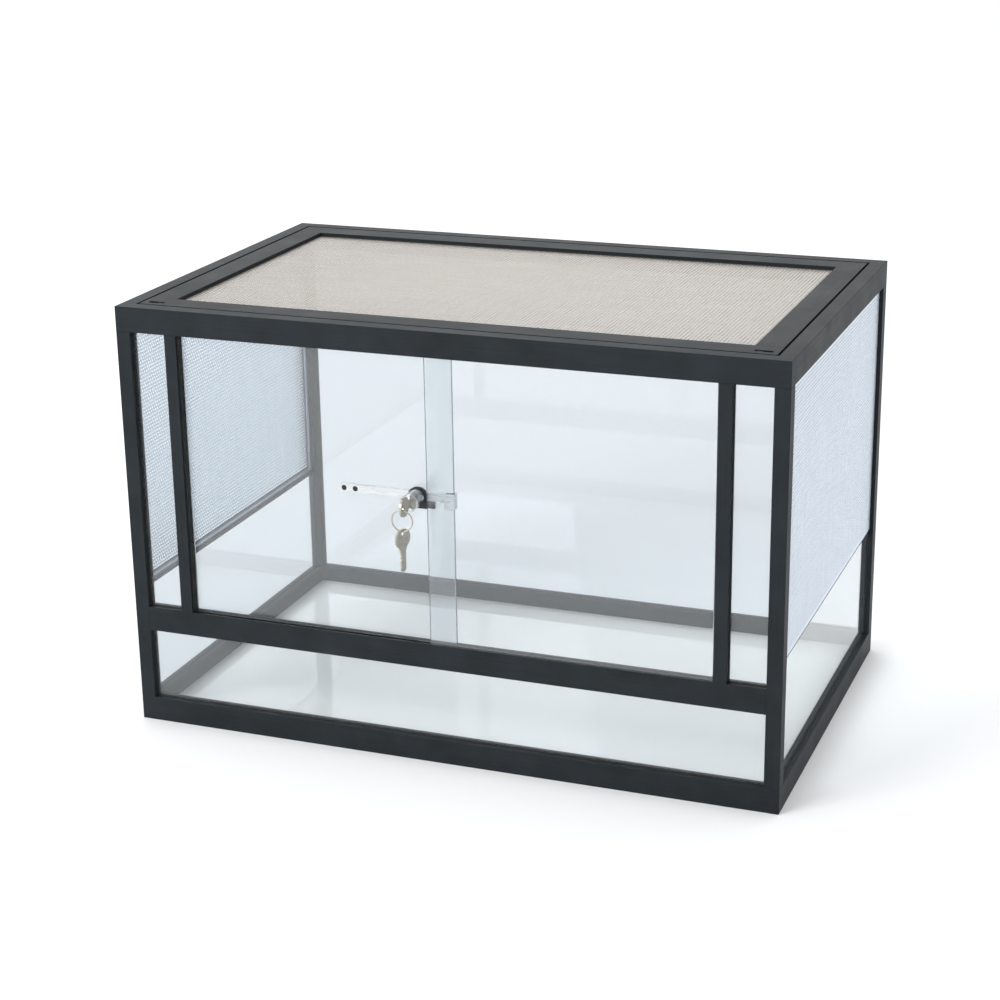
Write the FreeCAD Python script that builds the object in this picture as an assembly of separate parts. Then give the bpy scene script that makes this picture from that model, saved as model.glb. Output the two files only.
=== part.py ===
import FreeCAD, Part
import os

os.makedirs("parts", exist_ok=True)

# Glass and aluminium rodent enclosure with sliding doors, a lift-off vented lid and a showcase lock.
# Millimetres. +X is to the right seen from the front, +Y to the back, +Z up.
# The origin is the middle of the footprint, on the surface that the frame stands on.

# ---- overall size ----
overall_width = 800.0
overall_depth = 500.0
overall_height = 520.0

# ---- aluminium frame profile ----
rail_height = 30.0  # outer face of every horizontal rail
rail_side_wall = 1.2  # on each side of the door tracks, which set the depth of the rails
profile_wall = 1.6
edge_radius = 0.6
groove_depth = 4.5  # glazing groove in the middle of the profile
ledge_width = 8.0
ledge_thickness = 1.6
floor_ledge_height = 4.0  # underside of the ledge that carries the floor pane

# ---- corner connectors and their screws ----
connector_clearance = 0.2
connector_leg_length = 18.0  # reach of a leg past the inner face of the corner
connector_post_reach = 30.0  # length of the upright leg inside a post
screw_corner_gap = 0.5  # screw head to the inner face of the corner
screw_head_radius = 3.5
screw_radius = 2.0
screw_length = 9.0
screw_hole_clearance = 0.1
screw_sink = 0.2  # screw heads lie this far below the surface
screw_slot_length = 4.2
screw_slot_width = 0.8
screw_slot_depth = 1.4

# ---- front of the frame ----
lower_window_height = 88.5  # opening between the bottom rail and the middle rail
inner_post_side = 15.0
inner_post_wall = 1.5
narrow_window_width = 44.5  # fixed pane between an inner post and the corner post

# ---- glazing ----
glass_thickness = 4.0
gasket_base = 1.0  # rubber between a pane's edge and the bottom of its groove
gasket_wall = 1.0  # rubber on each face of a pane
gasket_lip = 0.8  # rubber standing out of the groove
floor_glass_thickness = 4.0
floor_glass_gap = 1.0
floor_seal_thickness = 0.8
seal_width = 6.0

# ---- side panels ----
side_glass_height = 142.0  # from the bottom rail to the middle of the divider strip
divider_height = 3.4
divider_web = 1.0
divider_gap = 0.4
vent_sheet = 1.5
vent_panel_inset = 4.4  # raised face of a vent panel, from the outer face of the frame
vent_panel_gap = 1.0  # from the raised face to the frame around it

# ---- door tracks and doors ----
lower_track_height = 8.0
upper_track_height = 12.0
track_wall = 1.2
channel_clearance = 0.3  # on each face of a door
lower_channel_depth = 5.0
upper_channel_depth = 10.0
door_floor_clearance = 0.3
door_top_engagement = 4.5
door_overlap = 30.0
bumper_thickness = 1.2
bumper_side_gap = 1.8  # bumper to each edge of the tracks
bumper_end_gap = 2.0
door_side_clearance = 0.3

# ---- lid ----
lid_gap = 3.0
lid_rail_width = 32.0
lid_height = 14.0
lid_wall = 1.5
lid_seal_thickness = 1.0
lid_groove_height = 3.2
lid_groove_depth = 5.0
lid_sheet_thickness = 1.2
lid_sheet_recess = 4.4  # from the top of the lid down to its sheet
lid_plug_length = 30.0
lid_tenon_width = 16.0
lid_tenon_height = 7.0
lid_tenon_length = 7.0

# ---- lid catches ----
slot_length = 20.0
slot_width = 7.0
slot_inset_x = 17.0  # middle of a slot, from the end of the lid
slot_inset_y = 11.0  # middle of a slot, from the front edge of the lid
bolt_width = 11.0
bolt_height = 5.0
bolt_length = 37.5
bolt_setback = 1.5  # drawn-back bolt, from the end of the lid
bolt_clearance = 0.3
bolt_travel = 8.0
tab_length = 6.0
tab_clearance = 0.25
tab_sink = 0.6
tab_rest_offset = -4.5  # thumb tab from the middle of its slot, bolt drawn back
keeper_end_gap = 4.2  # thrown bolt to the end of the hole that it enters
housing_length = 43.0
housing_end_gap = 1.0  # housing to the end of the lid
housing_rear_gap = 1.5
catch_floor = 5.0  # underside of a bolt, above the underside of the lid

# ---- ratchet bar on the left door ----
lock_height = 326.0  # axis of the lock above the floor
bar_length = 141.0
bar_height = 10.0
bar_thickness = 2.0
bar_pane_gap = 0.8  # bar to the back of the front pane
bar_rear_gap = 1.8  # bar to the front of the rear pane
tooth_pitch = 3.0
tooth_depth = 1.4
tooth_count = 34
hook_plate = 1.6
hook_height = 18.0
hook_reach = 12.0
hook_glass_gap = 0.2
hook_pad_thickness = 0.8
stud_radius = 3.2
stud_spacing = 14.0
stud_end_inset = 5.0

# ---- lock ----
barrel_radius = 10.0
barrel_front_reach = 20.0  # barrel end, in front of the frame's front face
barrel_chamfer = 0.8
barrel_rear_gap = 0.6  # barrel to the front of the rear pane
bar_slot_clearance = 0.3
bar_slot_gap = 0.2
buffer_rim = 1.5
buffer_clearance = 0.05
buffer_edge_gap = 0.3
buffer_thickness = 3.2
foot_reach = 8.2  # behind the front pane, past its edge
foot_height = 8.0
foot_gap = 0.5
plug_radius = 5.5
plug_clearance = 0.05
plug_proud = 0.4
cam_rim = 1.1
cam_clearance = 0.4
cam_step = 1.0  # flat of the half-round cam, above the axis
cam_thickness = 1.7
cam_gap = 0.3

# ---- keys ----
key_thickness = 2.0
blade_height = 8.0
blade_length = 25.5
blade_end_gap = 0.3
blade_tip_chamfer = 2.5
keyway_clearance = 0.15
shoulder_gap = 0.6
neck_length = 3.0
neck_height = 11.0
bow_radius = 11.5
bow_thickness = 2.4
bow_hole_radius = 3.0
bow_hole_inset = 5.0  # middle of the hole, from the outer end of the bow
bow_neck_overlap = 1.0
bitting_depths = (1.4, 2.2, 0.9, 1.8)
bitting_pitch = 4.2
bitting_start = 6.0
bitting_width = 2.4
ring_radius = 12.5
ring_wire_radius = 0.8
ring_gap = 0.4  # wire to the edge of a key's hole
spare_key_twist = -20.0  # spare key turned on the ring, degrees

# ---- places worked out from the sizes ----
door_gap = bar_pane_gap + bar_thickness + bar_rear_gap
track_channel = glass_thickness + 2 * channel_clearance
track_web = door_gap - 2 * channel_clearance
track_width = 2 * track_wall + 2 * track_channel + track_web
rail_depth = track_width + 2 * rail_side_wall  # also both sides of a corner post
half_width = overall_width / 2
half_depth = overall_depth / 2
top = overall_height
front = -half_depth
inner_width = half_width - rail_depth
inner_depth = half_depth - rail_depth
post_bottom = rail_height
post_top = top - rail_height
groove_width = glass_thickness + 2 * gasket_wall
groove_inset = (rail_depth - groove_width) / 2
groove = (groove_inset, groove_inset + groove_width)
glass_inset = (rail_depth - glass_thickness) / 2
glass = (glass_inset, glass_inset + glass_thickness)
core = (profile_wall, rail_depth - profile_wall)
post_core = (profile_wall, rail_depth - groove_depth - profile_wall)
glass_bite = groove_depth - gasket_base
connector_leg_reach = rail_depth + connector_leg_length
connector_leg_height = (
    rail_height - upper_track_height - 2 * profile_wall - 2 * connector_clearance
)
screw_inset = rail_depth + screw_head_radius + screw_corner_gap
middle_rail_bottom = rail_height + lower_window_height
middle_rail_top = middle_rail_bottom + rail_height
track_middle = front + rail_depth / 2
inner_post_place = inner_width - narrow_window_width - inner_post_side / 2
door_span = inner_post_place - inner_post_side / 2
buffer_radius = barrel_radius + buffer_rim
cam_radius = plug_radius + cam_rim
cam_cavity_radius = cam_radius + cam_clearance
sides = ((-1, -1), (1, -1), (-1, 1), (1, 1))


def block(x, y, z):
    """Box between two limits on each axis, given in either order."""
    low = [min(pair) for pair in (x, y, z)]
    high = [max(pair) for pair in (x, y, z)]
    size = [h - l for h, l in zip(high, low)]
    return Part.makeBox(*size, FreeCAD.Vector(*low))


def around(middle, size):
    return (middle - size / 2, middle + size / 2)


def ring(inset, z):
    """Rectangular ring between two insets from the outer faces of the frame."""
    outer, inner = min(inset), max(inset)
    whole = block(
        (outer - half_width, half_width - outer), (outer - half_depth, half_depth - outer), z
    )
    hole = block(
        (inner - half_width, half_width - inner), (inner - half_depth, half_depth - inner), z
    )
    return whole.cut(hole)


def corner_block(side, inset_x, inset_y, z):
    """Box near one upright edge of the frame, by its insets from the two outer faces."""
    x = [side[0] * (half_width - inset) for inset in inset_x]
    y = [side[1] * (half_depth - inset) for inset in inset_y]
    return block(x, y, z)


def mitre(name):
    """Upright prism that leaves one side of a ring, cut at 45 degrees at both ends."""
    reach = rail_depth + ledge_width
    w, d = half_width, half_depth
    outlines = {
        "front": ((-w, -d), (w, -d), (w - reach, reach - d), (reach - w, reach - d)),
        "back": ((-w, d), (w, d), (w - reach, d - reach), (reach - w, d - reach)),
        "left": ((-w, -d), (-w, d), (reach - w, d - reach), (reach - w, reach - d)),
        "right": ((w, -d), (w, d), (w - reach, d - reach), (w - reach, reach - d)),
    }
    points = [FreeCAD.Vector(x, y, 0) for x, y in outlines[name]]
    face = Part.Face(Part.makePolygon(points + points[:1]))
    return face.extrude(FreeCAD.Vector(0, 0, top))


def cylinder(radius, start, end):
    """Cylinder from one point to another along any direction."""
    a, b = FreeCAD.Vector(*start), FreeCAD.Vector(*end)
    return Part.makeCylinder(radius, (b - a).Length, a, b - a)


def mirrored(shape):
    """The same piece on the other side of the enclosure."""
    return shape.mirror(FreeCAD.Vector(0, 0, 0), FreeCAD.Vector(1, 0, 0))


def rounded(shape, radius, chosen):
    """Fillet the edges that a test of their middle point and direction picks."""
    edges = []
    for edge in shape.Edges:
        middle = edge.valueAt((edge.FirstParameter + edge.LastParameter) / 2)
        way = edge.tangentAt(edge.FirstParameter)
        if chosen(middle, way, edge.Length):
            edges.append(edge)
    return shape.makeFillet(radius, edges)


def save(name, *solids):
    """One STEP file for each node."""
    tidy = [piece.removeSplitter() for solid in solids for piece in solid.Solids]
    shape = tidy[0] if len(tidy) == 1 else Part.makeCompound(tidy)
    shape.exportStep(f"parts/{name}.step")


# ---- screws that hold the corner connectors ----
def screw_places():
    """Head point and direction of each of the sixteen screws."""
    z_upper = top - profile_wall - connector_clearance - connector_leg_height / 2
    places = []
    for sx, sy in sides:
        along_x = sx * (half_width - screw_inset)
        along_y = sy * (half_depth - screw_inset)
        middle_x = sx * (half_width - rail_depth / 2)
        middle_y = sy * (half_depth - rail_depth / 2)
        places.append(((along_x, middle_y, 0), (0, 0, 1)))
        places.append(((middle_x, along_y, 0), (0, 0, 1)))
        places.append(((along_x, sy * inner_depth, z_upper), (0, sy, 0)))
        places.append(((sx * inner_width, along_y, z_upper), (sx, 0, 0)))
    return places


def screw(place, way, clearance=0.0):
    """Flat-headed screw from its head inwards, or the hole for it."""
    start = FreeCAD.Vector(*place)
    way = FreeCAD.Vector(*way)
    sink = 0.0 if clearance else screw_sink
    under_head = start + way * (profile_wall + connector_clearance / 2)
    head = cylinder(screw_head_radius + clearance, start + way * sink, under_head)
    shank = cylinder(screw_radius + clearance, under_head, start + way * (screw_length + clearance))
    body = head.fuse(shank)
    if clearance:
        return body
    across = way.cross(FreeCAD.Vector(1, 1, 1)).normalize()
    slots = []
    for direction in (across, way.cross(across).normalize()):
        corner = FreeCAD.Vector(-screw_slot_length / 2, -screw_slot_width / 2, 0)
        depth = screw_sink + screw_slot_depth
        cutter = Part.makeBox(screw_slot_length, screw_slot_width, depth, corner)
        axes = FreeCAD.Rotation(direction, way.cross(direction), way, "XZY")
        cutter.Placement = FreeCAD.Placement(start, axes)
        slots.append(cutter)
    return body.cut(slots)


screw_holes = [screw(place, way, screw_hole_clearance) for place, way in screw_places()]


# ---- lid catch: bolt, its slot and its pocket, on the right-hand side ----
lid_end = half_width - rail_depth - lid_gap
lid_front = front + rail_depth + lid_gap
lid_bottom = top - lid_height
slot_x = lid_end - slot_inset_x
slot_y = lid_front + slot_inset_y
bolt_z = (lid_bottom + catch_floor, lid_bottom + catch_floor + bolt_height)
tab_top = top - tab_sink


def grown(pair, clearance):
    return (pair[0] - clearance, pair[1] + clearance)


def bolt_space(x):
    """Straight passage for the bolt, with its running clearance."""
    y = grown(around(slot_y, bolt_width), bolt_clearance)
    return block(x, y, grown(bolt_z, bolt_clearance))


keeper_depth = bolt_travel - bolt_setback - lid_gap + keeper_end_gap
keeper = bolt_space((inner_width - ledge_width, inner_width + keeper_depth))
keepers = [keeper, mirrored(keeper)]


# ---- outer frame ----
def lower_frame():
    groove_floor = rail_height - groove_depth
    body = ring((0, rail_depth), (0, rail_height))
    ledge_top = floor_ledge_height + ledge_thickness
    ledge = ring((rail_depth, rail_depth + ledge_width), (floor_ledge_height, ledge_top))
    cutters = [
        ring(core, (profile_wall, groove_floor - profile_wall)),
        ring(groove, (groove_floor, rail_height)),
    ]
    for side in sides:
        z = (groove_floor - profile_wall, rail_height)
        cutters.append(corner_block(side, post_core, post_core, z))
    body = round_outer_edges(body, 0, rail_height)
    return body.fuse(ledge).cut(cutters).cut(screw_holes)


def upper_frame(front_side):
    """The upper ring; its front side has the wide channel for the door track."""
    pocket = upper_track_height if front_side else groove_depth
    width = around(rail_depth / 2, track_width) if front_side else groove
    body = round_outer_edges(ring((0, rail_depth), (post_top, top)), post_top, top)
    ledge_top = lid_bottom - lid_seal_thickness
    ledge = ring((rail_depth, rail_depth + ledge_width), (ledge_top - ledge_thickness, ledge_top))
    cutters = [
        ring(core, (post_top + pocket + profile_wall, top - profile_wall)),
        ring(width, (post_top, post_top + pocket)),
    ]
    for side in sides:
        z = (post_top, post_top + pocket + profile_wall)
        cutters.append(corner_block(side, post_core, post_core, z))
    return body.fuse(ledge).cut(cutters).cut(screw_holes).cut(keepers)


def round_outer_edges(body, low, high):
    def outer(middle, way, length):
        on_x = abs(abs(middle.x) - half_width) < 0.01
        on_y = abs(abs(middle.y) - half_depth) < 0.01
        at_end = min(abs(middle.z - low), abs(middle.z - high)) < 0.01
        return (on_x or on_y) and at_end or (on_x and on_y)

    return rounded(body, edge_radius, outer)


lower_ring = lower_frame()
upper_ring = upper_frame(front_side=False)
for name in ("front", "back", "left", "right"):
    save(f"bottom_rail_{name}", lower_ring.common(mitre(name)))
for name in ("back", "left", "right"):
    save(f"top_rail_{name}", upper_ring.common(mitre(name)))
save("top_rail_front", upper_frame(front_side=True).common(mitre("front")))


def corner_post(side):
    """Square post with a glazing groove in each of its two inward faces."""
    z = (post_bottom, post_top)
    whole = (0, rail_depth)
    cut_in = (rail_depth - groove_depth, rail_depth)
    body = corner_block(side, whole, whole, z)

    def upright(middle, way, length):
        return abs(way.z) > 0.99

    body = rounded(body, edge_radius, upright)
    return body.cut(
        [
            corner_block(side, post_core, post_core, z),
            corner_block(side, cut_in, groove, z),
            corner_block(side, groove, cut_in, z),
        ]
    )


for side in sides:
    depth_name = "front" if side[1] < 0 else "back"
    width_name = "left" if side[0] < 0 else "right"
    save(f"post_{depth_name}_{width_name}", corner_post(side))


# ---- corner connectors hidden in the tubes ----
def connector(side, upper):
    """Three-way connector: a leg in each rail and one in the post."""
    clear = profile_wall + connector_clearance
    leg = (clear, rail_depth - clear)
    along = (clear, connector_leg_reach)
    post_leg = (clear, post_core[1] - connector_clearance)
    if upper:
        z = (top - clear - connector_leg_height, top - clear)
        post_z = (z[0], post_top - connector_post_reach)
    else:
        z = (clear, clear + connector_leg_height)
        post_z = (z[1], post_bottom + connector_post_reach)
    body = corner_block(side, along, leg, z).fuse(
        [corner_block(side, leg, along, z), corner_block(side, post_leg, post_leg, post_z)]
    )
    return body.cut(screw_holes).cut(keepers)


save("lower_corner_connectors", *[connector(side, upper=False) for side in sides])
save("upper_corner_connectors", *[connector(side, upper=True) for side in sides])
save("corner_screws", *[screw(place, way) for place, way in screw_places()])


# ---- middle rail and inner posts at the front ----
front_y = (front, front + rail_depth)
channel_y = around(track_middle, track_width)
groove_y = (front + groove[0], front + groove[1])
glass_y = (front + glass[0], front + glass[1])
middle_core_z = (
    middle_rail_bottom + groove_depth + profile_wall,
    middle_rail_top - lower_track_height - profile_wall,
)


def middle_rail():
    x = (-inner_width, inner_width)
    body = block(x, front_y, (middle_rail_bottom, middle_rail_top))

    def front_edge(middle, way, length):
        return abs(way.x) > 0.99 and abs(middle.y - front) < 0.01

    body = rounded(body, edge_radius, front_edge)
    core_y = (front + core[0], front + core[1])
    return body.cut(
        [
            block(x, core_y, middle_core_z),
            block(x, channel_y, (middle_rail_top - lower_track_height, middle_rail_top)),
            block(x, groove_y, (middle_rail_bottom, middle_rail_bottom + groove_depth)),
        ]
    )


save("front_mid_rail", middle_rail())

inner_post_x = around(inner_post_place, inner_post_side)
inner_post_y = (front, front + inner_post_side)
inner_core_x = (
    inner_post_x[0] + inner_post_wall,
    inner_post_x[1] - groove_depth - inner_post_wall,
)
inner_core_y = (inner_post_y[0] + inner_post_wall, inner_post_y[1] - inner_post_wall)


def inner_post():
    """Right-hand inner post, with the groove for the narrow pane on its outer side."""
    z = (middle_rail_top, post_top)
    body = block(inner_post_x, inner_post_y, z)

    def upright(middle, way, length):
        return abs(way.z) > 0.99

    body = rounded(body, edge_radius, upright)
    groove_x = (inner_post_x[1] - groove_depth, inner_post_x[1])
    return body.cut([block(inner_core_x, inner_core_y, z), block(groove_x, groove_y, z)])


save("inner_post_right", inner_post())
save("inner_post_left", mirrored(inner_post()))


def front_plugs():
    """Plugs in the ends of the middle rail and of the inner posts."""
    gap = connector_clearance
    y = (front + core[0] + gap, front + core[1] - gap)
    x = (inner_width - connector_leg_length, inner_width)
    plugs = [block(x, y, grown(middle_core_z, -gap))]
    for start, way in ((middle_rail_top, 1), (post_top, -1)):
        z = (start, start + way * connector_leg_length)
        plugs.append(block(grown(inner_core_x, -gap), grown(inner_core_y, -gap), z))
    return plugs + [mirrored(plug) for plug in plugs]


save("front_frame_plugs", *front_plugs())


# ---- panes and their gaskets ----
def gasket(pane, groove_box, opening):
    """Rubber that fills the groove around a pane and stands a little out of it."""
    return groove_box.cut([opening, pane])


pane_x = (-inner_width - glass_bite, inner_width + glass_bite)
pane_y = (-inner_depth - glass_bite, inner_depth + glass_bite)
open_x = grown((-inner_width, inner_width), -gasket_lip)
open_y = grown((-inner_depth, inner_depth), -gasket_lip)


def back_pane():
    y = (half_depth - glass[1], half_depth - glass[0])
    groove_back = (half_depth - groove[1], half_depth - groove[0])
    z = (post_bottom - glass_bite, post_top + glass_bite)
    pane = block(pane_x, y, z)
    groove_box = block(grown(pane_x, gasket_base), groove_back, grown(z, gasket_base))
    opening = block(open_x, groove_back, grown((post_bottom, post_top), -gasket_lip))
    return pane, gasket(pane, groove_box, opening)


pane, rubber = back_pane()
save("back_glass", pane)
save("back_gasket", rubber)


def front_lower_pane():
    z = (rail_height - glass_bite, middle_rail_bottom + glass_bite)
    pane = block(pane_x, glass_y, z)
    groove_box = block(grown(pane_x, gasket_base), groove_y, grown(z, gasket_base))
    opening = block(open_x, groove_y, grown((rail_height, middle_rail_bottom), -gasket_lip))
    return pane, gasket(pane, groove_box, opening)


pane, rubber = front_lower_pane()
save("front_lower_glass", pane)
save("front_lower_gasket", rubber)


def narrow_pane():
    """Fixed pane between the right-hand inner post and the corner post."""
    x = (inner_post_x[1] - glass_bite, inner_width + glass_bite)
    z = (middle_rail_top - glass_bite, post_top + glass_bite)
    pane = block(x, glass_y, z)
    groove_box = block(grown(x, gasket_base), groove_y, grown(z, gasket_base))
    open_side = grown((inner_post_x[1], inner_width), -gasket_lip)
    opening = block(open_side, groove_y, grown((middle_rail_top, post_top), -gasket_lip))
    return pane, gasket(pane, groove_box, opening), groove_box


pane, rubber, narrow_groove = narrow_pane()
save("narrow_pane_right", pane)
save("narrow_pane_left", mirrored(pane))
save("narrow_pane_gaskets", rubber, mirrored(rubber))


def pane_inserts():
    """Fillings of the wide channels under and over the narrow panes."""
    x = (inner_post_x[0], inner_width)
    lower = block(x, channel_y, (middle_rail_top - lower_track_height, middle_rail_top))
    upper = block(x, channel_y, (post_top, post_top + upper_track_height))
    inserts = [insert.cut(narrow_groove) for insert in (lower, upper)]
    return inserts + [mirrored(insert) for insert in inserts]


save("pane_inserts", *pane_inserts())


# ---- side walls: clear glass below, vent panel above, a strip between them ----
divider_middle = rail_height + side_glass_height


def right_side_parts():
    def side_block(inset, y, z):
        return block([half_width - a for a in inset], y, z)

    strip_y = open_y
    strip_z = around(divider_middle, divider_height)
    web_z = around(divider_middle, divider_web)
    glass_z = (rail_height - glass_bite, web_z[0])
    pane = side_block(glass, pane_y, glass_z)

    raised = (vent_panel_inset, vent_panel_inset + vent_sheet)
    tongue = (glass[0], glass[0] + vent_sheet)
    tongue_z = (web_z[1], post_top + glass_bite)
    face_y = grown((-inner_depth, inner_depth), -vent_panel_gap)
    face_z = (strip_z[1] + divider_gap, post_top - vent_panel_gap)
    walls = (raised[0], tongue[1])
    panel = side_block(walls, face_y, face_z)
    hollow = (raised[1], tongue[1])
    panel = panel.cut(side_block(hollow, grown(face_y, -vent_sheet), grown(face_z, -vent_sheet)))
    flat = side_block(tongue, pane_y, tongue_z)
    flat = flat.cut(side_block(tongue, grown(face_y, -vent_sheet), grown(face_z, -vent_sheet)))
    panel = panel.fuse(flat)

    strip = side_block(groove, strip_y, strip_z)
    strip = strip.cut(
        [
            side_block(glass, strip_y, (strip_z[0], web_z[0])),
            side_block(glass, strip_y, (web_z[1], strip_z[1])),
        ]
    )
    z = (rail_height - glass_bite, tongue_z[1])
    groove_box = side_block(groove, grown(pane_y, gasket_base), grown(z, gasket_base))
    opening = side_block(groove, open_y, grown((rail_height, post_top), -gasket_lip))
    rubber = groove_box.cut([opening, pane, panel])
    return pane, panel, strip, rubber


pane, panel, strip, rubber = right_side_parts()
save("side_glass_right", pane)
save("side_glass_left", mirrored(pane))
save("vent_panel_right", panel)
save("vent_panel_left", mirrored(panel))
save("divider_strip_right", strip)
save("divider_strip_left", mirrored(strip))
save("side_gaskets", rubber, mirrored(rubber))


# ---- floor pane on its ledge ----
floor_seal_z = (
    floor_ledge_height + ledge_thickness,
    floor_ledge_height + ledge_thickness + floor_seal_thickness,
)
seal_inset = around(rail_depth + ledge_width / 2, seal_width)
save("bottom_glass_seal", ring(seal_inset, floor_seal_z))
save(
    "bottom_glass",
    block(
        grown((-inner_width, inner_width), -floor_glass_gap),
        grown((-inner_depth, inner_depth), -floor_glass_gap),
        (floor_seal_z[1], floor_seal_z[1] + floor_glass_thickness),
    ),
)


# ---- door tracks ----
front_door_y = track_middle - (track_web + track_channel) / 2
rear_door_y = track_middle + (track_web + track_channel) / 2


def door_track(z, channel_z):
    body = block((-door_span, door_span), channel_y, z)
    for y in (front_door_y, rear_door_y):
        channel = block((-door_span, door_span), around(y, track_channel), channel_z)
        body = body.cut(channel)
    return body


lower_channel_floor = middle_rail_top - lower_channel_depth
upper_channel_roof = post_top + upper_channel_depth
save(
    "lower_door_track",
    door_track(
        (middle_rail_top - lower_track_height, middle_rail_top),
        (lower_channel_floor, middle_rail_top),
    ),
)
save(
    "upper_door_track",
    door_track((post_top, post_top + upper_track_height), (post_top, upper_channel_roof)),
)
bumper = block(
    (door_span - bumper_thickness, door_span),
    grown(channel_y, -bumper_side_gap),
    grown((middle_rail_top, post_top), -bumper_end_gap),
)
save("door_bumpers", bumper, mirrored(bumper))


# ---- sliding doors ----
door_z = (lower_channel_floor + door_floor_clearance, post_top + door_top_engagement)
door_outer_edge = door_span - bumper_thickness - door_side_clearance
door_inner_edge = door_overlap / 2
front_pane = block(
    (-door_inner_edge, door_outer_edge), around(front_door_y, glass_thickness), door_z
)
rear_pane = block((-door_outer_edge, door_inner_edge), around(rear_door_y, glass_thickness), door_z)


def soften(pane):
    """Ground edges of a sliding pane."""

    def outer_edges(middle, way, length):
        return length > 2 * glass_thickness

    return rounded(pane, edge_radius, outer_edges)


save("right_door_glass", soften(front_pane))
save("left_door_glass", soften(rear_pane))


# ---- ratchet bar with its hook, on the left door ----
front_pane_back = front_door_y + glass_thickness / 2
rear_pane_front = rear_door_y - glass_thickness / 2
rear_pane_back = rear_door_y + glass_thickness / 2
bar_y = (front_pane_back + bar_pane_gap, rear_pane_front - bar_rear_gap)
hook_inner = door_inner_edge + hook_glass_gap
hook_end = hook_inner + hook_plate
bar_x = (hook_end - bar_length, hook_end)
bar_z = around(lock_height, bar_height)
hook_z = (bar_z[1] - hook_height, bar_z[1])
hook_back = rear_pane_back + hook_pad_thickness


def studs():
    """Rubber studs in the free end of the bar."""
    places = [bar_x[0] + stud_end_inset, bar_x[0] + stud_end_inset + stud_spacing]
    return [
        cylinder(stud_radius, (x, bar_y[0], lock_height), (x, bar_y[1], lock_height))
        for x in places
    ]


def ratchet_bar():
    body = block(bar_x, bar_y, bar_z)
    teeth = []
    first = hook_end - hook_reach - 2 * tooth_pitch
    for number in range(tooth_count):
        x = first - number * tooth_pitch
        points = [
            FreeCAD.Vector(x, bar_y[0], bar_z[0]),
            FreeCAD.Vector(x - tooth_pitch, bar_y[0], bar_z[0]),
            FreeCAD.Vector(x, bar_y[0], bar_z[0] + tooth_depth),
        ]
        face = Part.Face(Part.makePolygon(points + points[:1]))
        teeth.append(face.extrude(FreeCAD.Vector(0, bar_thickness, 0)))
    body = body.cut(teeth).cut(studs())
    reach = (hook_end - hook_reach, hook_end)
    leaf = block(reach, (bar_y[0], rear_pane_front - hook_glass_gap), hook_z)
    bend = block((hook_inner, hook_end), (bar_y[0], hook_back + hook_plate), hook_z)
    tail = block(reach, (hook_back, hook_back + hook_plate), hook_z)
    return body.fuse([leaf, bend, tail])


hook_pad = block((hook_end - hook_reach, door_inner_edge), (rear_pane_back, hook_back), hook_z)
save("ratchet_bar", ratchet_bar())
save("bar_rubbers", hook_pad, *studs())


# ---- lock: barrel, buffer and turning plug ----
lock_x = -door_inner_edge - buffer_edge_gap - buffer_radius
barrel_y = (front - barrel_front_reach, rear_pane_front - barrel_rear_gap)
cam_y = (bar_y[0] - bar_slot_gap - cam_gap - cam_thickness, bar_y[0] - bar_slot_gap - cam_gap)
plug_y = (barrel_y[0] - plug_proud, cam_y[0])


def on_axis(radius, y):
    return cylinder(radius, (lock_x, y[0], lock_height), (lock_x, y[1], lock_height))


def lock_body():
    body = on_axis(barrel_radius, barrel_y)
    rim = [edge for edge in body.Edges if abs(edge.CenterOfMass.y - barrel_y[0]) < 0.01]
    body = body.makeChamfer(barrel_chamfer, rim)
    slot = block(
        around(lock_x, 4 * barrel_radius),
        grown(bar_y, bar_slot_gap),
        grown(bar_z, bar_slot_clearance),
    )
    bore = on_axis(plug_radius + plug_clearance, (barrel_y[0], cam_y[0]))
    cavity = on_axis(cam_cavity_radius, (cam_y[0], bar_y[0] - bar_slot_gap))
    return body.cut([slot, bore, cavity])


def lock_buffer():
    """Black collar against the edge of the front pane, with a foot that reaches behind it."""
    pane_front = front_door_y - glass_thickness / 2
    collar_y = (pane_front, pane_front + buffer_thickness)
    foot_y = (front_pane_back + foot_gap, barrel_y[1])
    foot_z = (bar_z[0] - bar_slot_clearance - foot_height, bar_z[0] - bar_slot_clearance)
    collar = on_axis(buffer_radius, collar_y)
    bridge_x = (lock_x, -door_inner_edge - buffer_edge_gap)
    bridge = block(bridge_x, (collar_y[0], foot_y[1]), foot_z)
    foot = block((lock_x, foot_reach - door_inner_edge), foot_y, foot_z)
    clear = on_axis(barrel_radius + buffer_clearance, (collar_y[0], foot_y[1]))
    return collar.fuse([bridge, foot]).cut(clear)


def lock_plug():
    body = on_axis(plug_radius, plug_y)
    cam = on_axis(cam_radius, cam_y)
    upper_z = (lock_height + cam_step, lock_height + cam_radius)
    upper_half = block(around(lock_x, 2 * cam_radius), cam_y, upper_z)
    body = body.fuse(cam.cut(upper_half))
    keyway = block(
        grown(around(lock_x, key_thickness), keyway_clearance),
        (plug_y[0], plug_y[0] + blade_length - shoulder_gap + blade_end_gap),
        grown(around(lock_height, blade_height), keyway_clearance),
    )
    return body.cut(keyway)


save("lock_body", lock_body())
save("lock_buffer", lock_buffer())
save("lock_plug", lock_plug())


# ---- keys and their ring ----
bow_middle = -neck_length - bow_radius + bow_neck_overlap
bow_hole = bow_middle - bow_radius + bow_hole_inset


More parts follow.
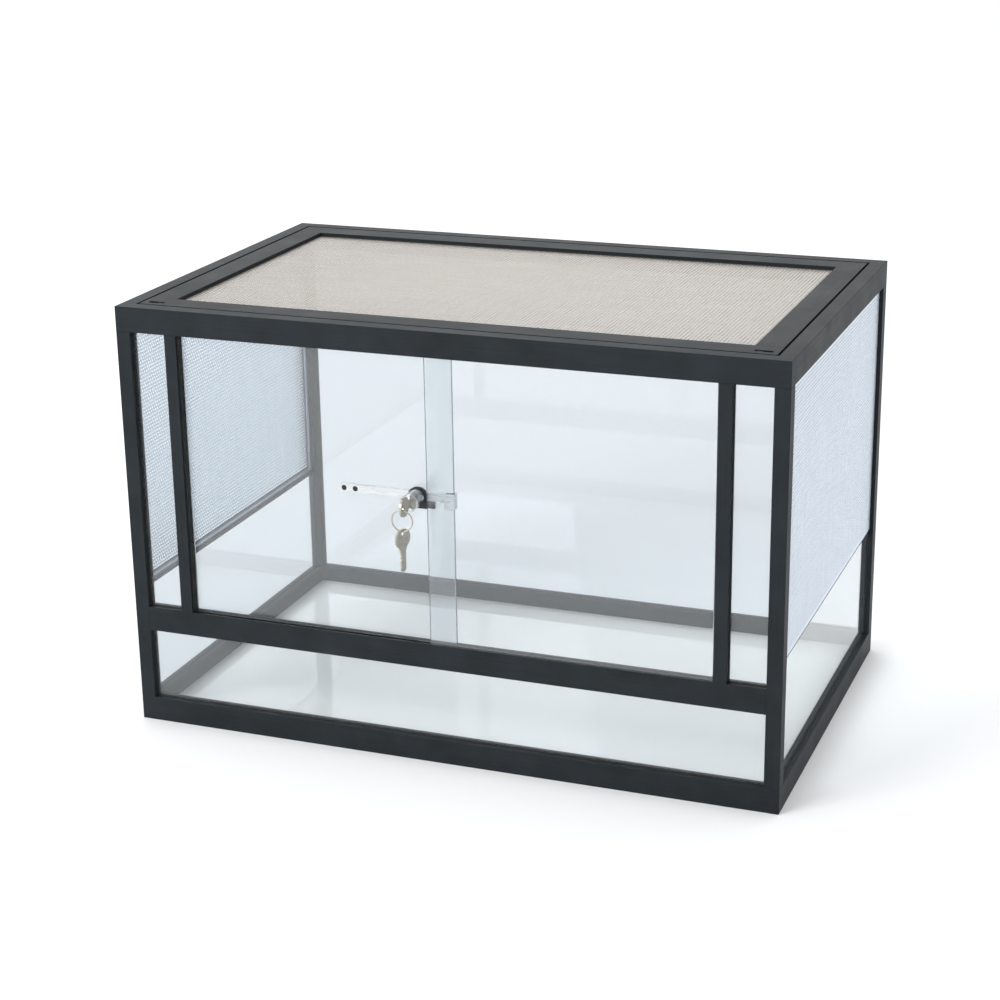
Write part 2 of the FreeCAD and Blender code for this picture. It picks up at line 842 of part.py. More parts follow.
def key():
    """Key with its blade along +Y from the shoulder at the origin, flat in the YZ plane."""
    half = key_thickness / 2
    blade = block((-half, half), (-neck_length, blade_length), around(0, blade_height))
    tip = []
    for sign in (-1, 1):
        corner = sign * blade_height / 2
        points = [
            FreeCAD.Vector(-half, blade_length, corner),
            FreeCAD.Vector(-half, blade_length - blade_tip_chamfer, corner),
            FreeCAD.Vector(-half, blade_length, corner - sign * blade_tip_chamfer),
        ]
        face = Part.Face(Part.makePolygon(points + points[:1]))
        tip.append(face.extrude(FreeCAD.Vector(key_thickness, 0, 0)))
    blade = blade.cut(tip)
    for number, depth in enumerate(bitting_depths):
        y = bitting_start + number * bitting_pitch
        z = (-blade_height / 2, -blade_height / 2 + depth)
        blade = blade.cut(block((-half, half), (y, y + bitting_width), z))
    neck_z = around(0, neck_height)
    neck = block(around(0, bow_thickness), (-neck_length, 0), neck_z)
    half_bow = bow_thickness / 2
    bow = cylinder(bow_radius, (-half_bow, bow_middle, 0), (half_bow, bow_middle, 0))
    hole = cylinder(bow_hole_radius, (-bow_radius, bow_hole, 0), (bow_radius, bow_hole, 0))
    return blade.fuse([neck, bow]).cut(hole)


door_key = key()
shoulder_y = plug_y[0] - shoulder_gap
door_key.translate(FreeCAD.Vector(lock_x, shoulder_y, lock_height))
save("door_key", door_key)

ring_y = shoulder_y + bow_hole
ring_drop = bow_hole_radius - ring_wire_radius - ring_gap
ring_top = lock_height - ring_drop
ring_centre = FreeCAD.Vector(lock_x, ring_y, ring_top - ring_radius)
save(
    "key_ring",
    Part.makeTorus(ring_radius, ring_wire_radius, ring_centre, FreeCAD.Vector(0, 1, 0)),
)

spare_key = key()
spare_key.translate(FreeCAD.Vector(0, -bow_hole, 0))
spare_key.rotate(FreeCAD.Vector(0, 0, 0), FreeCAD.Vector(1, 0, 0), -90)
spare_key.rotate(FreeCAD.Vector(0, 0, 0), FreeCAD.Vector(0, 0, 1), spare_key_twist)
spare_hole_z = ring_centre.z - ring_radius - ring_drop
spare_key.translate(FreeCAD.Vector(lock_x, ring_y, spare_hole_z))
save("spare_key", spare_key)


# ---- lid ----
lid_back = -lid_front
lid_z = (lid_bottom, top)
lid_inner_x = lid_end - lid_rail_width
lid_inner_y = lid_back - lid_rail_width
sheet_top = top - lid_sheet_recess
sheet_z = (sheet_top - lid_sheet_thickness, sheet_top)
lid_groove_z = around(sum(sheet_z) / 2, lid_groove_height)
lid_core_z = grown(lid_z, -lid_wall)
lid_core_y = (lid_front + lid_wall, -lid_inner_y - lid_groove_depth - lid_wall)
lid_core_x = (lid_inner_x + lid_groove_depth + lid_wall, lid_end - lid_wall)
catch_slot = block(around(slot_x, slot_length), around(slot_y, slot_width), (bolt_z[1], top))
tenon_x = around(sum(lid_core_x) / 2, lid_tenon_width)
tenon_z = around(sum(lid_core_z) / 2, lid_tenon_height)
tenon_hole = block(
    grown(tenon_x, connector_clearance),
    (lid_core_y[1], -lid_inner_y),
    grown(tenon_z, connector_clearance),
)


def long_lid_rail():
    """Front rail of the lid, the full width; the back one is the same without the slots."""
    x = (-lid_end, lid_end)
    body = block(x, (lid_front, -lid_inner_y), lid_z)

    def upper_edge(middle, way, length):
        return abs(way.x) > 0.99 and abs(middle.z - top) < 0.01

    body = rounded(body, edge_radius, upper_edge)
    groove_box = block(x, (-lid_inner_y - lid_groove_depth, -lid_inner_y), lid_groove_z)
    return body.cut(
        [block(x, lid_core_y, lid_core_z), groove_box, tenon_hole, mirrored(tenon_hole)]
    )


def short_lid_rail():
    """Right-hand rail of the lid, between the two long ones."""
    y = (-lid_inner_y, lid_inner_y)
    body = block((lid_inner_x, lid_end), y, lid_z)

    def upper_edge(middle, way, length):
        return abs(way.y) > 0.99 and abs(middle.z - top) < 0.01

    body = rounded(body, edge_radius, upper_edge)
    groove_box = block((lid_inner_x, lid_inner_x + lid_groove_depth), y, lid_groove_z)
    return body.cut([block(lid_core_x, y, lid_core_z), groove_box])


back_rail = long_lid_rail()
back_rail.rotate(FreeCAD.Vector(0, 0, 0), FreeCAD.Vector(0, 0, 1), 180)
save("lid_rail_front", long_lid_rail().cut([catch_slot, mirrored(catch_slot)]))
save("lid_rail_back", back_rail)
save("lid_rail_right", short_lid_rail())
save("lid_rail_left", mirrored(short_lid_rail()))


def lid_plugs():
    """Plugs that join the short lid rails to the long ones."""
    gap = connector_clearance
    body = block(
        grown(lid_core_x, -gap),
        (-lid_inner_y, -lid_inner_y + lid_plug_length),
        grown(lid_core_z, -gap),
    )
    tenon = block(tenon_x, (-lid_inner_y - lid_tenon_length, -lid_inner_y), tenon_z)
    plug = body.fuse(tenon)
    pair = [plug, mirrored(plug)]
    for piece in list(pair):
        turned = piece.copy()
        turned.rotate(FreeCAD.Vector(0, 0, 0), FreeCAD.Vector(0, 0, 1), 180)
        pair.append(turned)
    return pair


save("lid_corner_plugs", *lid_plugs())


def lid_sheet_parts():
    bite = lid_groove_depth - gasket_base
    x = grown((-lid_inner_x, lid_inner_x), bite)
    y = grown((-lid_inner_y, lid_inner_y), bite)
    sheet = block(x, y, sheet_z)
    groove_box = block(grown(x, gasket_base), grown(y, gasket_base), lid_groove_z)
    opening = block(
        grown((-lid_inner_x, lid_inner_x), -gasket_lip),
        grown((-lid_inner_y, lid_inner_y), -gasket_lip),
        lid_groove_z,
    )
    return sheet, groove_box.cut([opening, sheet])


sheet, rubber = lid_sheet_parts()
save("lid_vent_sheet", sheet)
save("lid_sheet_gasket", rubber)
save("lid_seat_seal", ring(seal_inset, (lid_bottom - lid_seal_thickness, lid_bottom)))


def catch_housing():
    """Guide of the right-hand bolt, in the end of the front lid rail."""
    x = (lid_end - housing_end_gap - housing_length, lid_end - housing_end_gap)
    y = (lid_core_y[0] + connector_clearance, lid_core_y[1] - housing_rear_gap)
    body = block(x, y, grown(lid_core_z, -connector_clearance / 2))
    return body.cut([bolt_space(x), catch_slot])


def lid_catch():
    """Right-hand bolt, drawn back, with its thumb tab in the slot."""
    end = lid_end - bolt_setback
    bolt = block((end - bolt_length, end), around(slot_y, bolt_width), bolt_z)
    tab = block(
        around(slot_x + tab_rest_offset, tab_length),
        grown(around(slot_y, slot_width), -tab_clearance),
        (bolt_z[1], tab_top),
    )
    return bolt.fuse(tab)


save("catch_housings", catch_housing(), mirrored(catch_housing()))
save("lid_catch_right", lid_catch())
save("lid_catch_left", mirrored(lid_catch()))
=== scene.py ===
import math

import bpy
import numpy as np
from mathutils import Matrix, Vector


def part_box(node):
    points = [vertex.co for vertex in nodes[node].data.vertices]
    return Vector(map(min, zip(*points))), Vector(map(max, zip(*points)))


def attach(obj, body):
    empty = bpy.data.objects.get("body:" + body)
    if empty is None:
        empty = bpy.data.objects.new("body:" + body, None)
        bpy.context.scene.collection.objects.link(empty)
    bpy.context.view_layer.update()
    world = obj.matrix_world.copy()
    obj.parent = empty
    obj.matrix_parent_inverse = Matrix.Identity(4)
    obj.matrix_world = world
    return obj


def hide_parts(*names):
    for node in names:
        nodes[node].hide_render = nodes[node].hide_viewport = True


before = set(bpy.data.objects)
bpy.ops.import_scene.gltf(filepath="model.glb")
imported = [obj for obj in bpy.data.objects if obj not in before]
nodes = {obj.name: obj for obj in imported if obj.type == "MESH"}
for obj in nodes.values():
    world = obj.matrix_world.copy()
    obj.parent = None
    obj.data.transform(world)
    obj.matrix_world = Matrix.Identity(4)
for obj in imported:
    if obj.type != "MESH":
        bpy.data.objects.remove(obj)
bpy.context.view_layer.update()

mm = 0.001
scene = bpy.context.scene


def linear(hexCode):
    # sRGB hex to linear: c/12.92 near black, ((c + 0.055)/1.055)^2.4 elsewhere
    parts = [int(hexCode[i:i + 2], 16) / 255 for i in (1, 3, 5)]
    return [c / 12.92 if c <= 0.04045 else ((c + 0.055) / 1.055) ** 2.4 for c in parts] + [1.0]


def addNode(tree, kind, settings=None, values=None, links=None):
    node = tree.nodes.new(kind)
    for key, value in (settings or {}).items():
        setattr(node, key, value)
    for key, value in (values or {}).items():
        node.inputs[key].default_value = value
    for key, socket in (links or {}).items():
        tree.links.new(socket, node.inputs[key])
    return node


def startMaterial(name):
    material = bpy.data.materials.new(name)
    material.use_nodes = True
    tree = material.node_tree
    tree.nodes.clear()
    output = addNode(tree, "ShaderNodeOutputMaterial")
    place = addNode(tree, "ShaderNodeTexCoord").outputs["Object"]
    return material, tree, output, place


def stretchedNoise(tree, place, sizes, detail=2.0):
    # noise whose grains have these sizes in metres along X, Y and Z
    scaled = addNode(tree, "ShaderNodeMapping", values={"Scale": [1 / s for s in sizes]},
                     links={"Vector": place})
    noise = addNode(tree, "ShaderNodeTexNoise", values={"Scale": 1.0, "Detail": detail, "Roughness": 0.55},
                    links={"Vector": scaled.outputs["Vector"]})
    return noise.outputs["Fac"]


def between(tree, factor, low, high, start=0.3, end=0.7):
    # a number that goes from low to high as the factor goes from start to end
    ranged = addNode(tree, "ShaderNodeMapRange", values={
        "From Min": start, "From Max": end, "To Min": low, "To Max": high,
    }, links={"Value": factor})
    return ranged.outputs["Result"]


def blended(tree, factor, hexLow, hexHigh):
    mix = addNode(tree, "ShaderNodeMix", {"data_type": "RGBA"}, links={"Factor": factor})
    mix.inputs["A"].default_value = linear(hexLow)
    mix.inputs["B"].default_value = linear(hexHigh)
    return next(s for s in mix.outputs if s.type == "RGBA")


# finishes
powderCoat = {
    "dark": "#1e2225",
    "light": "#2a2f33",
    "grain": 0.7 * mm,  # extrusion lines, drawn wider than the usual 0.2 mm so that they show
    "run": 160 * mm,
    "patch": 45 * mm,
    "lineDepth": 0.02 * mm,
    "specular": 0.08,
}


def coatedAluminium(name, axis):
    # Black powder-coated extrusion: satin and even, with faint lighter and darker lines along its length
    material, tree, output, place = startMaterial(name)
    sizes = [powderCoat["grain"]] * 3
    sizes[axis] = powderCoat["run"]
    lines = stretchedNoise(tree, place, sizes, 3.0)
    patches = stretchedNoise(tree, place, [powderCoat["patch"]] * 3)
    mixed = addNode(tree, "ShaderNodeMath", {"operation": "MULTIPLY_ADD"}, {1: 0.5}, {0: lines})
    halfPatch = addNode(tree, "ShaderNodeMath", {"operation": "MULTIPLY"}, {1: 0.5}, {0: patches})
    tree.links.new(halfPatch.outputs[0], mixed.inputs[2])
    bump = addNode(tree, "ShaderNodeBump", values={"Strength": 0.25, "Distance": powderCoat["lineDepth"]},
                   links={"Height": lines})
    shader = addNode(tree, "ShaderNodeBsdfPrincipled", values={
        "IOR": 1.5, "Specular IOR Level": powderCoat["specular"],
    }, links={
        "Base Color": blended(tree, between(tree, mixed.outputs[0], 0, 1),
                              powderCoat["dark"], powderCoat["light"]),
        "Roughness": between(tree, mixed.outputs[0], 0.38, 0.54),
        "Normal": bump.outputs["Normal"],
    })
    tree.links.new(shader.outputs[0], output.inputs["Surface"])
    return material


glazing = {
    "tint": "#ebeef1",
    "floorTint": "#fdfdfd",
    "film": 0.045,  # share of light that a faint haze on the surface scatters
    "floorFilm": 0.8,  # the same for the floor pane, which is milky
    "shadow": "#fbfcfc",  # light that a pane lets through to its own shadow
    "ior": 1.52,
    "wave": 120 * mm,
    "waveHeight": 0.01 * mm,
    "edge": "#d8ebe6",  # tint that builds up with the depth of glass
    "edgeDensity": 18.0,
}


def floatGlass(name, tint, film):
    # Float glass: sharp reflections, slightly wavy, clear with a little film and milky with much of it
    material, tree, output, place = startMaterial(name)
    waves = stretchedNoise(tree, place, [glazing["wave"]] * 3, 0.0)
    bump = addNode(tree, "ShaderNodeBump", values={"Strength": 0.3, "Distance": glazing["waveHeight"]},
                   links={"Height": waves})
    glass = addNode(tree, "ShaderNodeBsdfPrincipled", values={
        "Base Color": linear(tint), "Roughness": 0.0, "IOR": glazing["ior"],
        "Transmission Weight": 1.0 - film,
    }, links={"Normal": bump.outputs["Normal"]})
    clear = addNode(tree, "ShaderNodeBsdfTransparent", values={"Color": linear(glazing["shadow"])})
    path = addNode(tree, "ShaderNodeLightPath")
    mix = addNode(tree, "ShaderNodeMixShader", links={
        0: path.outputs["Is Shadow Ray"], 1: glass.outputs[0], 2: clear.outputs[0],
    })
    depth = addNode(tree, "ShaderNodeVolumeAbsorption",
                    values={"Color": linear(glazing["edge"]), "Density": glazing["edgeDensity"]})
    tree.links.new(mix.outputs[0], output.inputs["Surface"])
    tree.links.new(depth.outputs[0], output.inputs["Volume"])
    return material


def mouldedPlastic(name, dark, light, grain, roughness, gloss=0.5):
    # Black moulded plastic or rubber: an even fine grain that keeps it matte
    material, tree, output, place = startMaterial(name)
    grains = stretchedNoise(tree, place, [grain] * 3, 1.0)
    bump = addNode(tree, "ShaderNodeBump", values={"Strength": 0.35, "Distance": grain * 0.1},
                   links={"Height": grains})
    shader = addNode(tree, "ShaderNodeBsdfPrincipled", values={
        "IOR": 1.5, "Specular IOR Level": gloss,
    }, links={
        "Base Color": blended(tree, grains, dark, light),
        "Roughness": between(tree, grains, roughness - 0.06, roughness + 0.06),
        "Normal": bump.outputs["Normal"],
    })
    tree.links.new(shader.outputs[0], output.inputs["Surface"])
    return material


def rolledMetal(name, dark, light, sizes, smooth, rough, depth):
    # Bare metal: colour and gloss vary along fine lines of the given sizes in millimetres
    material, tree, output, place = startMaterial(name)
    lines = stretchedNoise(tree, place, [s * mm for s in sizes], 3.0)
    bump = addNode(tree, "ShaderNodeBump", values={"Strength": 0.3, "Distance": depth * mm},
                   links={"Height": lines})
    shader = addNode(tree, "ShaderNodeBsdfPrincipled", values={"Metallic": 1.0}, links={
        "Base Color": blended(tree, between(tree, lines, 0, 1), dark, light),
        "Roughness": between(tree, lines, smooth, rough),
        "Normal": bump.outputs["Normal"],
    })
    tree.links.new(shader.outputs[0], output.inputs["Surface"])
    return material


alongX = coatedAluminium("blackCoatedAluminiumAlongX", 0)
alongY = coatedAluminium("blackCoatedAluminiumAlongY", 1)
alongZ = coatedAluminium("blackCoatedAluminiumAlongZ", 2)
paneGlass = floatGlass("clearFloatGlass", glazing["tint"], glazing["film"])
floorGlass = floatGlass("milkyFloatGlass", glazing["floorTint"], glazing["floorFilm"])
blackRubber = mouldedPlastic("blackSiliconeRubber", "#111213", "#1a1b1c", 0.6 * mm, 0.62)
blackPlastic = mouldedPlastic("blackMouldedAbs", "#16181a", "#212427", 0.8 * mm, 0.45)
# painted shade: a darker, less glossy copy of the black moulded plastic, used on the lid catches in their
# slot and on the catch housings
paintedShadeCatchPlastic = mouldedPlastic("blackMouldedPlasticPaintedShade", "#08090a", "#0e0f10", 0.8 * mm, 0.55, 0.1)
# softly bright sheet, warm on the lid; the cool blue of the side sheet is a painted reflection of bluish
# light
ventMetalPaintedBlueReflection = rolledMetal("satinAluminiumSheetPaintedBlueReflection", "#ccd5e0", "#e4ebf4", (4, 0.8, 60), 0.34, 0.46, 0.01)
lidMetal = rolledMetal("stainlessPerforatedSheet", "#aca6a1", "#c8c3bd", (60, 0.8, 4), 0.36, 0.5, 0.01)
# painted reflection: sharp bright and dark streaks painted into the chrome's colour
lockChrome = rolledMetal("polishedChromePlate", "#b4b8bb", "#d2d6d8", (6, 6, 6), 0.06, 0.14, 0.002)
# bright, with fine lines along the bar
barSteel = rolledMetal("brightZincSteel", "#b9bdc0", "#d6d9da", (12, 1, 0.6), 0.22, 0.36, 0.01)
# warm grey, dulled and flecked
keyNickel = rolledMetal("wornNickelBrass", "#9d978b", "#c9c4bb", (0.8, 3, 0.8), 0.24, 0.4, 0.01)
print("finishes made:", len(bpy.data.materials))


def finish(material, *names):
    for name in names:
        piece = nodes[name]
        if not piece.data.materials:
            piece.data.materials.append(material)
        for placeInPiece in piece.material_slots:
            placeInPiece.material = material


for side in ("front", "back"):
    finish(alongX, f"bottom_rail_{side}", f"top_rail_{side}", f"lid_rail_{side}")
    finish(alongZ, f"post_{side}_left", f"post_{side}_right")
for side in ("left", "right"):
    finish(alongY, f"bottom_rail_{side}", f"top_rail_{side}", f"lid_rail_{side}")
    finish(alongZ, f"inner_post_{side}")
    finish(paneGlass, f"side_glass_{side}", f"narrow_pane_{side}", f"{side}_door_glass")
    finish(blackPlastic, f"divider_strip_{side}")
    finish(paintedShadeCatchPlastic, f"lid_catch_{side}")
finish(alongX, "front_mid_rail")
finish(paneGlass, "back_glass", "front_lower_glass")
finish(floorGlass, "bottom_glass")
finish(blackRubber, "back_gasket", "front_lower_gasket", "narrow_pane_gaskets", "side_gaskets",
       "bottom_glass_seal", "lid_sheet_gasket", "lid_seat_seal", "bar_rubbers", "door_bumpers")
finish(blackPlastic, "lower_corner_connectors", "upper_corner_connectors", "front_frame_plugs",
       "lid_corner_plugs", "pane_inserts", "lower_door_track", "upper_door_track", "lock_buffer")
finish(paintedShadeCatchPlastic, "catch_housings")
finish(lockChrome, "lock_body", "lock_plug")
finish(barSteel, "ratchet_bar", "corner_screws")
finish(keyNickel, "door_key", "spare_key")
print("CAD nodes finished:", len(nodes))


# new pieces
def makePiece(name, points, faces, material, body, replaced):
    mesh = bpy.data.meshes.new(name)
    mesh.from_pydata(points.tolist(), [], faces)
    mesh.materials.append(material)
    piece = bpy.data.objects.new(name, mesh)
    scene.collection.objects.link(piece)
    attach(piece, body)
    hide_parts(replaced)
    return piece


def perforatedField(left, right, low, high, pitch, hole, thickness, cut=None):
    # Six-sided holes at x = (i + half a step on odd rows) * pitch, y = j * pitch * sqrt(3)/2.
    # Between two neighbours the web is a four-sided strip and between three a triangle. An edge with a
    # web on one side only, round a hole or along the rim, gets a wall from the upper face to the lower.
    # cut = -1 or 1 keeps what lies below or above the middle row, so that two halves meet exactly.
    columns = int(round((right - left) / pitch))
    rowStep = pitch * math.sqrt(3) / 2
    rows = int(round((high - low) / rowStep))
    j, i = np.mgrid[0:rows, 0:columns]
    x = (left + right) / 2 + (i + 0.5 * (j % 2) - (columns - 0.5) / 2) * pitch
    y = (low + high) / 2 + (j - (rows - 1) / 2) * rowStep
    turn = np.radians(30 + 60 * np.arange(6))
    radius = hole / 2 / math.cos(math.radians(30))
    rim = np.stack([x[..., None] + radius * np.cos(turn), y[..., None] + radius * np.sin(turn)], -1)
    rim = rim.reshape(-1, 2)

    def corner(jj, ii, k):
        return (jj * columns + ii) * 6 + k

    hasEast = i < columns - 1
    hasUp = j < rows - 1
    hasEastUp = hasUp & (i + j % 2 < columns)
    hasWestUp = hasUp & (i - 1 + j % 2 >= 0)
    webs = []
    for present, corners in (
        (hasEast, lambda a, b, c: ((a, b, 5), (a, b + 1, 3), (a, b + 1, 2), (a, b, 0))),
        (hasEastUp, lambda a, b, c: ((a, b, 0), (a + 1, c, 4), (a + 1, c, 3), (a, b, 1))),
        (hasWestUp, lambda a, b, c: ((a, b, 1), (a + 1, c - 1, 5), (a + 1, c - 1, 4), (a, b, 2))),
        (hasEast & hasEastUp, lambda a, b, c: ((a, b, 0), (a, b + 1, 2), (a + 1, c, 4))),
        (hasEastUp & hasWestUp, lambda a, b, c: ((a, b, 1), (a + 1, c, 3), (a + 1, c - 1, 5))),
    ):
        a, b = j[present], i[present]
        webs.append(np.stack([corner(*one) for one in corners(a, b, b + a % 2)], -1))
    if cut is not None:
        middle = (low + high) / 2 - 1e-6
        webs = [web[(rim[web][..., 1].mean(1) - middle) * cut > 0] for web in webs]
    used = np.unique(np.concatenate([web.ravel() for web in webs]))
    count = len(used)
    renumbered = np.zeros(len(rim), int)
    renumbered[used] = np.arange(count)
    webs = [renumbered[web] for web in webs]
    edges = np.concatenate([np.stack([web, np.roll(web, -1, 1)], -1).reshape(-1, 2) for web in webs])
    shared = np.isin(edges[:, 0] * count + edges[:, 1], edges[:, 1] * count + edges[:, 0])
    a, b = edges[~shared].T
    walls = np.stack([b, a, a + count, b + count], -1)
    groups = webs + [(web + count)[:, ::-1] for web in webs] + [walls]
    levels = (thickness / 2, -thickness / 2)
    points = np.vstack([np.column_stack([rim[used], np.full(count, level)]) for level in levels])
    return points, [face for group in groups for face in group.tolist()]


def carriedRound(rings, openAt=None):
    # A closed profile carried round a rectangle: each ring is (left, right, low, high, level), and the
    # strips between one ring and the next follow the four sides with mitred corners. openAt leaves out
    # one side and closes the two ends that are left.
    points = np.array([[(l, b, w), (r, b, w), (r, t, w), (l, t, w)] for l, r, b, t, w in rings])
    points = points.reshape(-1, 3)
    sides = [k for k in range(4) if k != openAt]
    faces = []
    for n in range(len(rings)):
        after = (n + 1) % len(rings)
        faces += [(n * 4 + k, n * 4 + (k + 1) % 4, after * 4 + (k + 1) % 4, after * 4 + k) for k in sides]
    if openAt is not None:
        faces.append([n * 4 + openAt for n in reversed(range(len(rings)))])
        faces.append([n * 4 + (openAt + 1) % 4 for n in range(len(rings))])
    return points, faces


def joined(*parts):
    points, faces, start = [], [], 0
    for somePoints, someFaces in parts:
        points.append(somePoints)
        faces += [[v + start for v in face] for face in someFaces]
        start += len(somePoints)
    return np.vstack(points), faces


lidSheet = {
    "pitch": 5.0 * mm,  # coarser than the usual 3 mm, so that the holes show
    "hole": 3.1 * mm,
    "thickness": 0.6 * mm,
    "border": 7 * mm,
    "rim": 2 * mm,  # edge of the sheet to the first holes, under the border
    "proud": 0.02 * mm,  # plain border over the ragged rim of the holes
}


def makeLidSheet():
    # The rows of holes run along Y, so the field is laid out on (Y, X) and turned over
    low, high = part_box("lid_vent_sheet")
    level = np.array([0, 0, (low.z + high.z) / 2])
    border, rim = lidSheet["border"], lidSheet["rim"]
    lift = lidSheet["thickness"] / 2 + lidSheet["proud"]
    for name, cut in (("lidSheetLeft", -1), ("lidSheetRight", 1)):
        field, fieldFaces = perforatedField(low.y + rim, high.y - rim, low.x + rim, high.x - rim,
                                            lidSheet["pitch"], lidSheet["hole"], lidSheet["thickness"], cut)
        turned = field[:, [1, 0, 2]], [face[::-1] for face in fieldFaces]
        left, right = sorted((0.0, cut * high.x))
        innerLeft = left + border if cut < 0 else left
        innerRight = right - border if cut > 0 else right
        outer = (left, right, low.y, high.y)
        inner = (innerLeft, innerRight, low.y + border, high.y - border)
        rings = [(*outer, -lift), (*outer, lift), (*inner, lift), (*inner, -lift)]
        points, faces = joined(turned, carriedRound(rings, openAt=1 if cut < 0 else 3))
        piece = makePiece(name, points + level, faces, lidMetal, "lid", "lid_vent_sheet")
        print(name, len(piece.data.polygons), "faces")


makeLidSheet()
print("lid sheet made")

ventPanel = {
    "pitch": 5.0 * mm,  # coarser than the usual 3 mm, so that the holes show
    "hole": 2.5 * mm,
    "thickness": 0.7 * mm,
    "border": 7 * mm,
    "proud": 0.02 * mm,
    "gap": 1.0 * mm,  # round the raised face
    "lowerGap": 0.4 * mm,  # over the strip below
    "rim": 2 * mm,  # edge of the raised face to the first holes, under the border
    "bend": 1.2 * mm,
    "tongue": 1.5 * mm,  # innermost face of the panel to the outer face of its edge in the groove
}


def makeVentPanel(side):
    # The perforated face stands proud; its edge turns back over a small bend and out again into the groove.
    spec = ventPanel
    low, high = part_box(f"vent_panel_{side}")
    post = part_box(f"post_front_{side}")[1].y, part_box(f"post_back_{side}")[0].y
    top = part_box(f"top_rail_{side}")[0].z
    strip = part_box(f"divider_strip_{side}")[1].z
    way = 1 if side == "right" else -1
    inner, outer = sorted((way * low.x, way * high.x))
    tongueFace = inner + spec["tongue"]
    sheet = spec["thickness"]
    face = (post[0] + spec["gap"], post[1] - spec["gap"], strip + spec["lowerGap"], top - spec["gap"])
    tongue = (low.y, high.y, low.z, high.z)

    def grown(distance):
        return (face[0] - distance, face[1] + distance, face[2] - distance, face[3] + distance)

    field, fieldFaces = perforatedField(*grown(-spec["rim"]), spec["pitch"], spec["hole"], sheet)
    field = field + np.array([0, 0, outer - sheet / 2 - spec["proud"]])
    bend, wall = spec["bend"], sheet + spec["proud"]
    turn = np.radians(np.arange(0, 91, 30))

    def rounded(radius):
        return [(*grown(radius * math.sin(t) - bend), outer - bend + radius * math.cos(t)) for t in turn]

    rings = [(*grown(-spec["border"]), outer)] + rounded(bend)
    rings += [(*grown(0), tongueFace), (*tongue, tongueFace), (*tongue, tongueFace - wall)]
    rings += [(*grown(-wall), tongueFace - wall)] + rounded(bend - wall)[::-1]
    rings += [(*grown(-spec["border"]), outer - wall)]
    rim, rimFaces = carriedRound(rings)
    points, faces = joined((field, fieldFaces), (rim, [face[::-1] for face in rimFaces]))
    placed = points[:, [2, 0, 1]] * np.array([way, 1, 1])
    if way < 0:
        faces = [face[::-1] for face in faces]
    name = f"ventPanel{side.capitalize()}"
    piece = makePiece(name, placed, faces, ventMetalPaintedBlueReflection, "frame", f"vent_panel_{side}")
    print(name, len(piece.data.polygons), "faces")


for side in ("left", "right"):
    makeVentPanel(side)
print("vent panels made")

splitRing = {
    "turns": 2,
    "steps": 120,
    "sideSteps": 10,
    "jog": 0.35,  # share of a turn over which one coil crosses to the next
    "start": 0.9,  # angle of the wire's end, in radians from +X
    "width": 1.9,  # half the wire's width across the ring, in quarters of the ring's depth
    "height": 0.97,  # and half its height, so that the coils stay a hair apart
}


def makeKeyRing():
    # A flattened wire wound twice: the centre line turns round the ring while its offset along Y goes
    # from one coil to the other over the jog, and the section is an ellipse
    low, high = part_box("key_ring")
    centre = (np.array(low) + np.array(high)) / 2
    wire = (high.y - low.y) / 4
    radius = (high.x - low.x) / 2 - 2 * wire
    t = np.linspace(0, splitRing["turns"], splitRing["steps"] * splitRing["turns"])
    crossing = np.clip((t - 1 + splitRing["jog"] / 2) / splitRing["jog"], 0, 1)
    offset = wire * (2 * (crossing * crossing * (3 - 2 * crossing)) - 1)
    around = 2 * math.pi * t[:, None] + splitRing["start"]
    turn = 2 * math.pi * np.arange(splitRing["sideSteps"])[None] / splitRing["sideSteps"]
    reach = radius + splitRing["width"] * wire * np.cos(turn)
    points = np.stack([
        centre[0] + reach * np.cos(around),
        centre[1] + offset[:, None] + splitRing["height"] * wire * np.sin(turn),
        centre[2] + reach * np.sin(around),
    ], -1).reshape(-1, 3)
    sides = splitRing["sideSteps"]
    a = np.arange(len(t) - 1)[:, None] * sides + np.arange(sides)[None]
    b = np.arange(len(t) - 1)[:, None] * sides + (np.arange(sides)[None] + 1) % sides
    faces = np.stack([a, b, b + sides, a + sides], -1).reshape(-1, 4).tolist()
    last = (len(t) - 1) * sides
    faces += [list(reversed(range(sides))), [last + k for k in range(sides)]]
    piece = makePiece("splitKeyRing", points, faces, keyNickel, "key_ring", "key_ring")
    piece.data.polygons.foreach_set("use_smooth", [True] * len(piece.data.polygons))


makeKeyRing()
print("key ring made")


# camera, floor and light
cameraPlace = {
    "azimuth": 21.01,
    "elevation": 18.763,
    "roll": -0.837,
    "aim": (-0.0455, 0.0627, 0.2203),
    "distance": 2.7719,
    "focal": 2.17799,  # of the picture's width
}


def makeCamera():
    a, e = math.radians(cameraPlace["azimuth"]), math.radians(cameraPlace["elevation"])
    back = Vector((math.sin(a) * math.cos(e), -math.cos(a) * math.cos(e), math.sin(e)))
    right = Vector((math.cos(a), math.sin(a), 0))
    up = back.cross(right)
    upright = Matrix((right, up, back)).transposed()
    turned = upright @ Matrix.Rotation(math.radians(cameraPlace["roll"]), 3, "Z")
    data = bpy.data.cameras.new("camera")
    data.sensor_width = 36.0
    data.lens = cameraPlace["focal"] * data.sensor_width
    data.clip_start, data.clip_end = 0.05, 200
    camera = bpy.data.objects.new("camera", data)
    place = Vector(cameraPlace["aim"]) + back * cameraPlace["distance"]
    camera.matrix_world = Matrix.Translation(place) @ turned.to_4x4()
    scene.collection.objects.link(camera)
    scene.camera = camera


makeCamera()

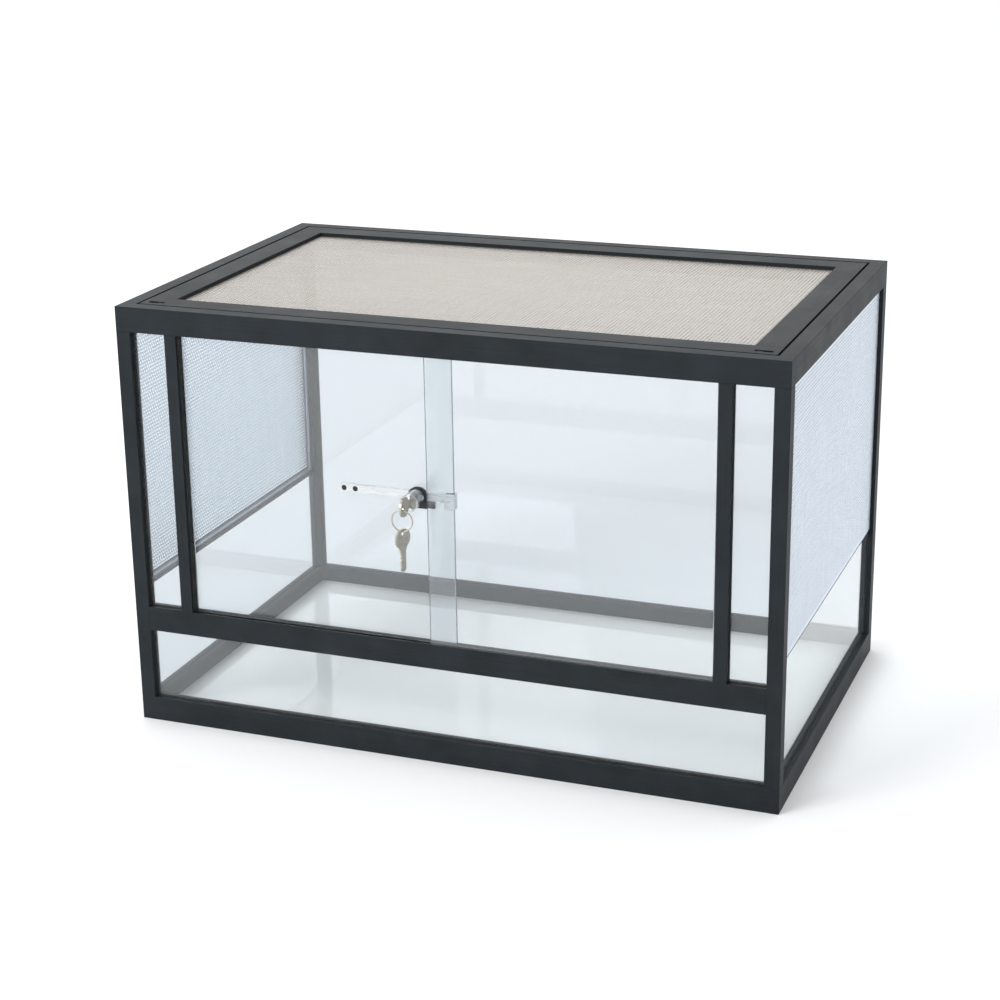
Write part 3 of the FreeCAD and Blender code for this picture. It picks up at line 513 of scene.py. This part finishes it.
studio = {
    "world": 0.8,
    "backdrop": 1.0,  # the sky behind the horizon, as white as the floor
    "floor": "#f6f7f8",
    "floorSize": 60.0,
    "key": {"place": (-2.2, -3.4, 2.2), "target": (0, 0, 0.25), "size": (2.0, 2.0), "power": 105},
    "rear": {"place": (-1.3, 3.4, 1.7), "target": (0, 0, 0), "size": (3.0, 1.2), "power": 10},
    "overhead": {"strength": 1.0, "angle": 80, "turn": (-18, -14, 0)},
}


def areaLight(name):
    spec = studio[name]
    data = bpy.data.lights.new(name, "AREA")
    data.shape = "RECTANGLE"
    data.size, data.size_y = spec["size"]
    data.energy = spec["power"]
    lamp = bpy.data.objects.new(name, data)
    lamp.visible_camera = False
    turned = (Vector(spec["place"]) - Vector(spec["target"])).to_track_quat("Z", "Y")
    lamp.matrix_world = Matrix.Translation(spec["place"]) @ turned.to_matrix().to_4x4()
    scene.collection.objects.link(lamp)


def makeStudio():
    world = bpy.data.worlds.new("studio")
    world.use_nodes = True
    background = world.node_tree.nodes["Background"]
    background.inputs["Color"].default_value = linear("#ffffff")
    seen = addNode(world.node_tree, "ShaderNodeLightPath").outputs["Is Camera Ray"]
    strength = between(world.node_tree, seen, studio["world"], studio["backdrop"], 0, 1)
    world.node_tree.links.new(strength, background.inputs["Strength"])
    scene.world = world
    side = studio["floorSize"] / 2
    floorMesh = bpy.data.meshes.new("floor")
    corners = [(-side, -side, 0), (side, -side, 0), (side, side, 0), (-side, side, 0)]
    floorMesh.from_pydata(corners, [], [(0, 1, 2, 3)])
    material, tree, output, place = startMaterial("paleFloor")
    shader = addNode(tree, "ShaderNodeBsdfPrincipled", values={
        "Base Color": linear(studio["floor"]), "Roughness": 0.9, "Specular IOR Level": 0.1,
    })
    tree.links.new(shader.outputs[0], output.inputs["Surface"])
    floorMesh.materials.append(material)
    floor = bpy.data.objects.new("floor", floorMesh)
    scene.collection.objects.link(floor)
    areaLight("key")
    areaLight("rear")
    soft = bpy.data.lights.new("overhead", "SUN")
    soft.energy = studio["overhead"]["strength"]
    soft.angle = math.radians(studio["overhead"]["angle"])
    overhead = bpy.data.objects.new("overhead", soft)
    overhead.rotation_euler = [math.radians(a) for a in studio["overhead"]["turn"]]
    scene.collection.objects.link(overhead)
    scene.view_settings.view_transform = "Standard"


makeStudio()
print("camera and studio made")
